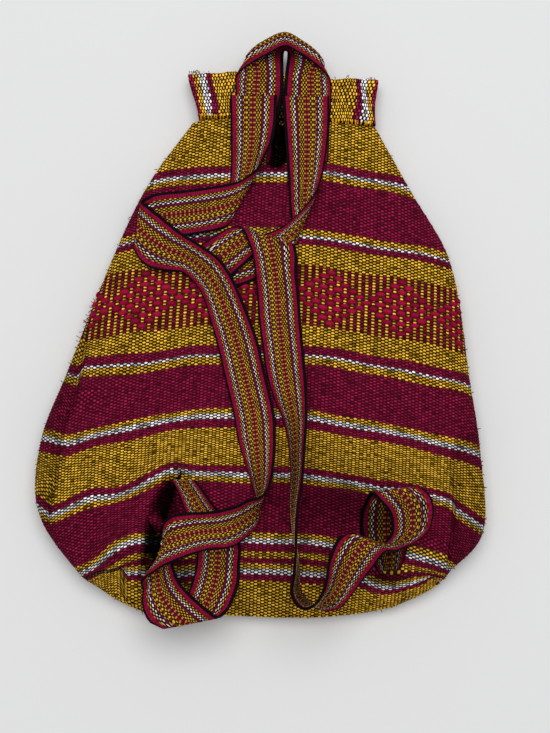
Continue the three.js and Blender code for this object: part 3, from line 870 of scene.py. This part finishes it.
def beltMesh(name, lines, picks, flipped=False, dim=()):
    # lines holds, for each step along the belt, the points across its middle from selvedge to selvedge;
    # picks holds how far apart the weft's picks lie at each step, and
    # dim holds (first, last, darkness) of painted shade for stretches in deep shade, as shares of the
    # length
    lines = np.asarray(lines, float)
    # the picks lie a little further apart where the belt climbs
    middle = lines.mean(axis=1) * [1, 1, 0.5]
    steps = np.linalg.norm(np.diff(middle, axis=0), axis=1)
    run = np.concatenate([[0], np.cumsum(steps)])
    halfPicks = np.concatenate([[0], np.cumsum(2 * steps / picks[1:])])
    length = np.interp(np.arange(0, halfPicks[-1]), halfPicks, run)
    # a pick lies square to the warp, also where the selvedges of a bent stretch are not level
    ahead = np.gradient(middle, axis=0)
    ahead = np.stack([np.convolve(a, np.ones(9) / 9, mode="same") for a in ahead.T], axis=1)
    lead = ((lines * [1, 1, 0.5] - middle[:, None]) * unit(ahead)[:, None]).sum(axis=-1)
    lead *= (smoothStep(run / belt["fade"]) * smoothStep((run[-1] - run) / belt["fade"]))[:, None]
    squared = []
    for k in range(lines.shape[1]):
        along = np.maximum.accumulate(run + lead[:, k]) + 1e-3 * np.arange(len(run))
        along = run[-1] * (along - along[0]) / (along[-1] - along[0])
        squared.append(np.stack([np.interp(length, along, lines[:, k, c]) for c in range(3)], axis=1))
    lines = np.stack(squared, axis=1)
    columnSteps = np.arange(2 * belt["columns"] + 1)
    place = columnSteps / columnSteps[-1]
    spot = np.clip(place * (lines.shape[1] - 1), 0, lines.shape[1] - 1.001)
    i = spot.astype(int)
    part = (spot - i)[None, :, None]
    lines = lines[:, i] * (1 - part) + lines[:, i + 1] * part
    side = unit(np.gradient(lines, axis=1))
    face = outward(lines)
    fromStart = columnSteps[-1] - columnSteps if flipped else columnSteps
    patterned = [columnNames[min(c // 2, belt["columns"] - 1)] != "crimson" for c in fromStart]
    dots = raisedDots(fromStart, np.arange(len(length))) * patterned
    thin = np.where(np.abs(place - 0.5) > 0.5 - belt["edgeShare"], belt["edgeThin"], 1.0)
    thick = (belt["thick"] / 2 * thin + dots * belt["relief"])[..., None]
    upper = lines + face * thick
    lower = (lines - face * thick)[:, ::-1]
    side *= belt["rim"]
    rim = np.stack([lines[:, -1] + side[:, -1], lines[:, 0] - side[:, 0]], axis=1)
    ring = np.concatenate([upper, rim[:, :1], lower, rim[:, 1:]], axis=1)
    u = np.concatenate([place, [1], place[::-1], [0]]) * belt["width"]
    if flipped:
        u = belt["width"] - u
    count = ring.shape[1]
    v = np.arange(len(length)) * belt["rowPitch"] / 2
    uvs = np.stack(np.broadcast_arrays(u[None, :], v[:, None]), axis=-1).reshape(-1, 2)
    obj = addMesh(name, ring.reshape(-1, 3), ringFaces(len(length), count), uvs, [beltLook])
    share = length / length[-1]
    shade = np.zeros_like(share)
    for first, last, value in dim:
        into, before = (share - first) / belt["shadeFade"], (last - share) / belt["shadeFade"]
        shade = np.maximum(shade, value * smoothStep(into) * smoothStep(before))
    shadeMesh(obj, np.repeat(shade, count))
    return obj


def strapMesh(name, route, spacing, flipped, dim=(), bows=None):
    # spacing gives the distance between picks at some points of the route, and bows how far
    # the middle of a folded row stands to the right of its ends
    middles, halves = beltRows(route)
    k = np.linspace(-1, 1, belt["across"])
    lines = middles[:, None, :] + halves[:, None, :] * k[None, :, None]
    points = np.arange(len(lines)) / belt["steps"]
    picks = np.interp(points, list(spacing), list(spacing.values()))
    if bows:
        lines[..., 0] += np.interp(points, list(bows), list(bows.values()))[:, None] * (1 - k * k)
    return beltMesh(name, lines, picks, flipped, dim)


# places along a strap: x, y, layers of belt below it, and half its width across as x, y and,
# where it is tilted, z
leftRoute = [
    (-24, 17, 1.6, 1.03, 0.05), (-23, -9, 2, 0.98, 0.14), (-23, -35, 1.8, 0.86, 0.57),
    (-25, -59, 1.1, 0.75, 1.17), (-26, -72, 2, 0.65, 1.41), (-32, -79, 2.9, 0.63, 1.29),
    (-43, -85, 2.9, 0.63, 1.15), (-60, -88, 1.8, 0.48, 1.1), (-82, -90, 0.9, 0.31, 1.07),
    (-99, -93, 0.7, 0.17, 1.12), (-109, -99, 1.8, 0.08, 1.13), (-102, -108, 2.9, 0.12, 1.19),
    (-93, -115, 2.9, 0.19, 1.12), (-80, -122, 2.4, 0.19, 0.87, 0.1), (-68, -127, 1.6, 0.19, 0.64, 0.3),
    (-57, -135, 1.7, 0.28, 0.61, 0.35), (-49, -143, 1.7, 0.38, 0.63, 0.35),
    (-42, -154, 1.1, 0.54, 0.49, 0.35), (-35, -170, 0.5, 0.69, 0.31, 0.3),
    (-26, -193, 0.4, 0.82, 0.13, 0.1), (-18, -221, 0.3, 0.83, 0.1), (-10, -250, 0.1, 0.83, 0.05, 0.1),
    (-7, -269, 0.1, 0.77, 0, 0.3), (-4, -287, 0, 0.6, -0.02, 0.6), (-2, -304, 0.2, 0.36, -0.07, 0.9),
    (-2, -317, 0.3, 0.05, 0.2, 0.95), (-7, -324, 0.5, -0.16, 0.47, 0.8),
    (-15, -330, 1.6, -0.26, 0.56, 0.5), (-27, -336, 3.3, -0.27, 0.72, 0.2), (-41, -338, 3.6, -0.14, 0.75),
    (-55, -341, 3.3, -0.01, 0.88), (-69, -346, 3.2, 0.15, 1.05), (-82, -355, 2.6, 0.4, 1.2),
    (-81, -362, 1.6, 0.46, 0.95), (-77, -373, 1.6, 0.58, 0.55), (-74, -384, 1.6, 0.75, 0.45),
    (-67, -394, 2.3, 0.96, 0.42), (-58, -402, 2.2, 1.17, 0.32), (-52, -406, 1.1, 1.28, 0.31),
    (-44, -401, 0.1, 1.13, 0.3), (-38, -389, 0.3, 1.04, 0.17), (-34, -377, 0.1, 1, 0.15),
    (-32, -361, 0.1, 0.89, 0.1), (-32, -349, 0.1, 0.89, 0.1), (-38, -334, 0, 0.79, 0.09, 0.05),
    (-47, -321, 0.1, 0.65, 0.03, 0.2), (-53, -311, 0.1, 0.55, 0, 0.3), (-60, -301, 0, 0.5, -0.03, 0.3)]
rightRoute = [
    (18, 18, 1.6, 1.03, 0.05), (20, -11, 1.8, 0.96, 0.04), (21, -50, 1.2, 0.76, 0.26),
    (21, -73, 0.9, 0.6, 0.66), (22, -90, 1.8, 0.43, 1.16), (18, -99, 2.9, 0.36, 1.15),
    (11, -108, 2.9, 0.32, 1.05), (0, -118, 0.9, 0.17, 0.96), (-15, -126, 0.4, 0.02, 0.97),
    (-33, -132, 0.2, -0.31, 0.96), (-49, -135, 1.3, -0.54, 0.9), (-43, -129, 2.7, -0.58, 0.74),
    (-34, -121, 3.1, -0.51, 0.71), (-23, -112, 3.3, -0.69, 0.5), (-8, -108, 3.9, -1.24, 0.36),
    (-4, -115, 4.9, -1.18, 0.47), (-2, -124, 5, -1.05, 0.48), (0, -133, 4.5, -0.96, 0.46),
    (2, -144, 3, -0.93, 0.35), (4, -158, 1.4, -0.9, 0.2), (6, -176, 0.7, -0.87, 0),
    (9, -195, 0.2, -0.84, -0.03, -0.05), (13, -220, 0.1, -0.79, 0.01, -0.3),
    (17, -238, 0, -0.66, 0.05, -0.55), (21, -255, 0.1, -0.47, 0.08, -0.75),
    (23, -274, 0.2, -0.32, 0.1, -0.9), (24, -295, 0.3, -0.24, 0.11, -0.95),
    (23, -316, 0.2, -0.18, 0.12, -0.98), (24, -335, 0.1, -0.07, 0.07, -1),
    (26, -351, 0.1, 0.03, 0.06, -1), (27, -367, 0, 0.13, 0.07, -1), (27, -379, 0, 0.19, 0.12, -0.98),
    (31, -386, 0, 0.17, 0.2, -0.97), (36, -389, 0, 0.07, 0.21, -0.95), (43, -388, 0, 0.03, -0.04, -0.95),
    (48, -386, 0, 0.1, -0.34, -0.9), (55, -380, 0, 0.34, -0.5, -0.7), (60, -369, 0.1, 0.56, -0.51, -0.55),
    (65, -358, 0.6, 0.7, -0.5, -0.4), (70, -349, 1.6, 0.77, -0.49, -0.2), (78, -340, 2.9, 0.78, -0.38),
    (86, -341, 2.7, 0.76, -0.27), (101, -340, 2.3, 0.7, 0.06), (110, -332, 3.8, 0.77, 0.1),
    (111, -323, 5.9, 0.84, 0.06), (109, -314, 8.1, 0.92, 0.15), (104, -308, 9.9, 0.99, 0.19),
    (97, -303, 10.3, 0.99, 0.15), (94, -304, 8.4, 1.04, 0.13), (92, -312, 5.1, 1.03, 0.09),
    (92, -328, 1, 1.03, 0.11), (94, -342, 0.2, 0.89, 0.15), (96, -352, 0.1, 0.66, 0.13),
    (97, -360, 0, 0.44, 0.04)]
leftPicks = {0: 4.4, 1: 4.4, 2: 3.95, 7: 3.5, 13: 4.3, 17: 3.9, 19: 3.35, 21: 3.25, 30: 3.55, 35: 3.65}
rightPicks = {0: 4.65, 2: 4.4, 10: 4.2, 16: 3.85, 20: 3.4, 24: 3.35, 33: 3.5, 38: 3.7, 43: 4.25}
leftStrap = strapMesh("left_strap_belt", leftRoute, leftPicks, False, bows={31: 0, 32: 7, 33: 3, 34: 0})
# painted shade on the end that runs under the loop, and at the turn near the base
rightDim = [(0.92, 1.1, 0.68), (0.66, 0.76, 0.3)]
rightStrap = strapMesh("right_strap_belt", rightRoute, rightPicks, True, rightDim)

# the hang loop: its outer selvedge, the fold that makes the hood's edge, and its inner selvedge
hood = [
    ((-37, -38), None, (-8, -40)), ((-38, -6), None, (-5, -7)), ((-38.5, 20), None, (-1, 20)),
    ((-39, 31.9, 26), (-34.2, 32.1, 26), (-0.8, 29, 25)),
    ((-36.5, 36.5, 30), (-35, 40.7, 28), (-1.4, 43, 24)),
    ((-30.3, 39.5, 34), (-32, 46.5, 31), (-1.9, 52, 20)),
    ((-22.5, 44.2, 36), (-27, 53.6, 33), (-1.8, 58.4, 15)),
    ((-13.1, 49.7, 37), (-17.6, 60.9, 34), (-1.4, 61.7, 12)),
    ((-0.5, 56.7, 37), (-1, 68.9, 34), (0, 63, 11)),
    ((10.2, 52.1, 37), (13.9, 61.9, 34), (1.4, 61.8, 12)),
    ((20.2, 46.1, 36), (23.5, 55.5, 33), (1.9, 58.5, 15)),
    ((28.5, 40.5, 34), (29.9, 48.5, 31), (2, 52.3, 20)),
    ((34.4, 37.2, 30), (33.5, 43, 28), (1.4, 43.1, 24)),
    ((37.5, 33, 26), (33, 33.3, 26), (0.8, 29.1, 25)), ((38.5, 20), None, (0.8, 20)),
    ((38, -6), None, (4.5, -7)), ((38, -39), None, (6, -37))]
loop = {"fold": 0.13, "lift": 1.3, "clear": 1.7, "steps": 8, "across": 19, "picks": 3.6}


def loopMesh():
    rows = []
    for outer, fold, inner in hood:
        if fold is None:
            outer, inner = np.array(outer, float), np.array(inner, float)
            flat = []
            for x, y in (outer, outer + loop["fold"] * (inner - outer), inner):
                flat.append([x, y, max(restHeight(x, y), clothTop(x, y)) + loop["lift"]])
            rows.append(flat)
        else:
            rows.append([outer, fold, inner])
    rows = np.array(rows, float)
    k = np.linspace(0, 1, loop["across"])
    lines = []
    for row in fineCurve(rows, rows.mean(axis=1), loop["steps"]):
        over, rest = np.linalg.norm(row[1] - row[0]), np.linalg.norm(row[2] - row[1])
        lines.append(curve([0, min(0.48, 1.5 * over / (over + rest)), 1], row, k))
    lines = np.array(lines)
    for p in lines.reshape(-1, 3):
        if p[1] < band["length"] + 1:
            p[2] = max(p[2], clothTop(p[0], min(p[1], band["length"])) + loop["clear"])
    return beltMesh("hang_loop_belt", lines, np.full(len(lines), loop["picks"]))


hangLoop = loopMesh()
print("belts made")

bandWeave = {"columnPitch": 2.8, "rowPitch": 2.3, "relief": 0.34, "dotWide": 0.47, "dotHigh": 0.33,
             "cloth": 1.7, "cover": 1.5, "slackAcross": 0.14, "slackAlong": 0.62, "slackFrom": 0.52}
bandStripes = [(0, "crimson"), (2, "yellow"), (7.6, "white"), (12.4, "maroon"), (17, "yellow"),
               (133, "maroon"), (137.6, "white"), (142.4, "yellow"), (148, "crimson")]


def bandMaterial():
    # the same cloth turned, so its stripes run up the band
    material, tree, skin = newMaterial("band_cloth", 0.9)
    u, v = clothCoordinates(tree)
    centre, height, dice = wovenDots(u, v, bandWeave)[1:]
    stops = [(place / band["flat"], threads[name]) for place, name in bandStripes]
    threadsOver = toneWithPaintedHighlight(ramp(centre / band["flat"], stops), dice * 0.5 + 0.98, height, dice)
    final = mix(weftShown(u, v, height, bandWeave), threads["black"], threadsOver)
    dress(skin, final, height, 0.0005)
    return material


bandLook = bandMaterial()


def bandMesh(name, isBack):
    # cloth folded over at its top: up the outside, round the fold and down inside
    outer = band["thick"] / 2
    length = band["length"]
    rise = np.linspace(band["gap"], length - outer, 20)
    bends = np.linspace(0, math.pi, 9)[1:-1]
    turn = [(length - outer + outer * math.sin(a), outer * math.cos(a)) for a in bends]
    section = np.array([(y, outer) for y in rise] + turn + [(y, -outer) for y in rise[::-1]])
    run = runAlong(section)
    up = section[:, 0] / length
    points = []
    shares = np.linspace(0, 1, band["columns"])
    for k in shares:
        left = -band["left"] - band["flareLeft"] * up
        right = band["right"] + band["flareRight"] * up
        x = left + (right - left) * k + 0.8 * np.sin(section[:, 0] / 7 + k * 40)
        wave = np.sin(x / 2.3 + 1.5 * np.sin(x / 11)) * (1.1 - up)
        wave += 0.9 * np.sin(x / 7.7 + 1) + 0.5 * np.sin(x / 4.1)
        y = section[:, 0] + (0.8 * np.sin(x / 9.0) + 0.5 * np.sin(x / 3.7)) * up
        z = bandMiddle(x, isBack) + section[:, 1] + (wave * 0.75 if isBack else 0)
        points.append(np.stack([x, y, np.maximum(z, 0.3)], axis=-1))
    points = np.array(points)
    across = np.broadcast_to(run, points.shape[:2])
    along = shares[:, None] * band["flat"] + 0.8 * np.sin(run / 6 + shares[:, None] * 30)
    return wovenCloth(name, points, across, along, bandWeave, [bandLook])[0]


backBand = bandMesh("back_band", True)
frontBand = bandMesh("front_band", False)
# painted shade on the back band where it lies in the slit between the strap tops
places = meshPlaces(backBand)
shadeMesh(backBand, 0.95 * smoothStep((7 - np.abs(places[:, 0])) / 4) * smoothStep((32 - places[:, 1]) / 8))
print("bands made")


def tubes(name, paths, radius, materials, looks):
    points, faces, slots = [], [], []
    sides = 5
    for path, look in zip(paths, looks):
        path = np.asarray(path, float)
        along = unit(np.gradient(path, axis=0))
        a = unit(np.cross(along, [0.31, 0.52, 0.79]))
        b = np.cross(along, a)
        skin = ringFaces(len(path), sides, len(points))
        faces += skin
        slots += [look] * len(skin)
        for p, q, r in zip(path, a, b):
            for w in np.arange(sides) * 2 * math.pi / sides:
                points.append(p + radius * (math.cos(w) * q + math.sin(w) * r))
    return addMesh(name, points, faces, None, materials, slots)


def curl(root, way, length):
    # a short thread that leaves root along way and bends off
    way = np.asarray(way, float)
    bend = np.array([jitter(1), jitter(1), chance.uniform(-0.3, 0.8)])
    k = np.linspace(0, 1, 6)[:, None]
    path = root + way * k * length + bend * (k ** 2) * length * 0.55
    path[:, 2] = np.maximum(path[:, 2], 0.5)
    return path


# how many loose threads stand at each edge
fuzz = {"brocade": 34, "sides": 70, "base": 60, "mouth": 46, "radius": 0.26, "nearEdge": 5}


def looseThreads():
    paths, red = [], []
    near = fuzz["nearEdge"]
    # red fuzz where the brocade's wefts turn at the left edge
    for k in range(fuzz["brocade"]):
        j = int(np.searchsorted(rowShares, chance.gauss(0.4, 0.025)))
        way = (-1, jitter(0.9), chance.uniform(-0.1, 0.6))
        red.append(curl(backPoints[j, chance.randrange(near)], way, chance.uniform(0.8, 2.4)))
    for k in range(fuzz["sides"]):
        j = chance.randrange(4, len(rowShares) - 1)
        side = -1 if chance.random() < 0.5 else 1
        i = chance.randrange(near)
        way = (side, jitter(0.9), chance.uniform(-0.1, 0.6))
        paths.append(curl(backPoints[j, i if side < 0 else -1 - i], way, chance.uniform(0.7, 1.7)))
    for k in range(fuzz["base"]):
        i = chance.randrange(4, len(angles) - 4)
        j = -1 - chance.randrange(near)
        way = (jitter(0.7), -1, chance.uniform(-0.1, 0.4))
        paths.append(curl(backPoints[j, i], way, chance.uniform(0.8, 1.8)))
    for k in range(fuzz["mouth"]):
        x = chance.choice((chance.uniform(-77, 75), chance.uniform(-78, -66), chance.uniform(66, 76)))
        z = float(bandMiddle(np.array(x), True)) + jitter(2)
        way = (jitter(0.6), 1, chance.uniform(-0.2, 0.6))
        paths.append(curl(np.array([x, band["length"] - 0.3, z]), way, chance.uniform(0.8, 2.0)))
    looks = [chance.choice((0, 0, 0, 1, 2)) for path in paths] + [1] * len(red)
    return tubes("loose_threads", paths + red, fuzz["radius"], [darkThread, redThread, yellowThread], looks)


stitch = {"from": -66, "to": 73, "pitch": 2.6, "bareMiddle": 9, "radius": 0.7, "lift": 0.45}


def mouthStitches():
    # sewing that holds the back band to the gathered mouth
    paths = []
    for x in np.arange(stitch["from"], stitch["to"], stitch["pitch"]):
        x += jitter(0.7)
        if abs(x) < stitch["bareMiddle"]:
            continue
        path = []
        reach = chance.uniform(0.5, 1.1)
        for y in (-1.0, -0.2, 0.7, 1.6, 2.4):
            z = clothTop(x, y * reach) + stitch["lift"]
            path.append([x + jitter(0.2), y * reach, z])
        paths.append(path)
    return tubes("mouth_stitches", paths, stitch["radius"], [yellowThread], [0] * len(paths))


loose = looseThreads()
stitching = mouthStitches()

for piece, nodes, slotName in (
        (back, ["sack"], "sack_cloth"), (front, ["sack"], "sack_cloth"), (floats, ["sack"], "sack_cloth"),
        (loose, ["sack"], "sack_cloth"), (stitching, ["back_mouth_band"], "band_cloth"),
        (leftStrap, ["left_strap"], "belt"), (rightStrap, ["right_strap"], "belt"),
        (hangLoop, ["hang_loop"], "belt"),
        (backBand, ["back_mouth_band"], "band_cloth"), (frontBand, ["front_mouth_band"], "band_cloth")):
    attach(piece, "root")
    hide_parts(*nodes)

# stage: pale floor and soft light from above the mouth, in metres, and angles in degrees
stage = {"floorSize": 60, "floor": (0.735, 0.74, 0.75), "sky": (0.98, 0.99, 1.0), "skyPower": 0.45,
         "light": (0.02, 0.32, 2.4), "lightAim": (0, -0.1, 0), "lightSize": 2.2, "lightPower": 44,
         "lightColour": (1.0, 0.99, 0.97),
         # the camera's place is in millimetres, and its lens is for a picture 733 pixels high
         "camera": (13.63, -420.59, 1256.44), "turn": 2.66, "rise": 80, "sensor": 36,
         "lens": 1250 / 0.785 * 36 / 733}
scene = bpy.context.scene
bpy.ops.mesh.primitive_plane_add(size=stage["floorSize"], location=(0, 0, 0))
floorPlane = bpy.context.object
floorPlane.name = "floor"
floorPlane.data.materials.append(plainMaterial("floor", stage["floor"], 0.95))

lightData = bpy.data.lights.new("window", "AREA")
lightData.shape = "DISK"
lightData.size = stage["lightSize"]
lightData.energy = stage["lightPower"]
lightData.color = stage["lightColour"]
light = addObject("window", lightData)
light.location = stage["light"]
aim = Vector(stage["lightAim"]) - Vector(stage["light"])
light.rotation_euler = aim.to_track_quat("-Z", "Y").to_euler()

world = bpy.data.worlds.new("soft")
scene.world = world
world.use_nodes = True
world.node_tree.nodes["Background"].inputs[0].default_value = (*stage["sky"], 1)
world.node_tree.nodes["Background"].inputs[1].default_value = stage["skyPower"]

turn, rise = math.radians(stage["turn"]), math.radians(stage["rise"])
right = Vector((math.cos(turn), math.sin(turn), 0))
forward = Vector((-math.sin(turn) * math.cos(rise), math.cos(turn) * math.cos(rise), -math.sin(rise)))
up = right.cross(forward)
cameraData = bpy.data.cameras.new("camera")
cameraData.sensor_width = stage["sensor"]
cameraData.lens = stage["lens"]
camera = addObject("camera", cameraData)
turned = Matrix((right, up, -forward)).transposed()
place = (Vector(stage["camera"]) + Vector((0, seamY, 0))) / 1000
camera.matrix_world = Matrix.Translation(place) @ turned.to_4x4()
scene.camera = camera
scene.view_settings.view_transform = "Standard"
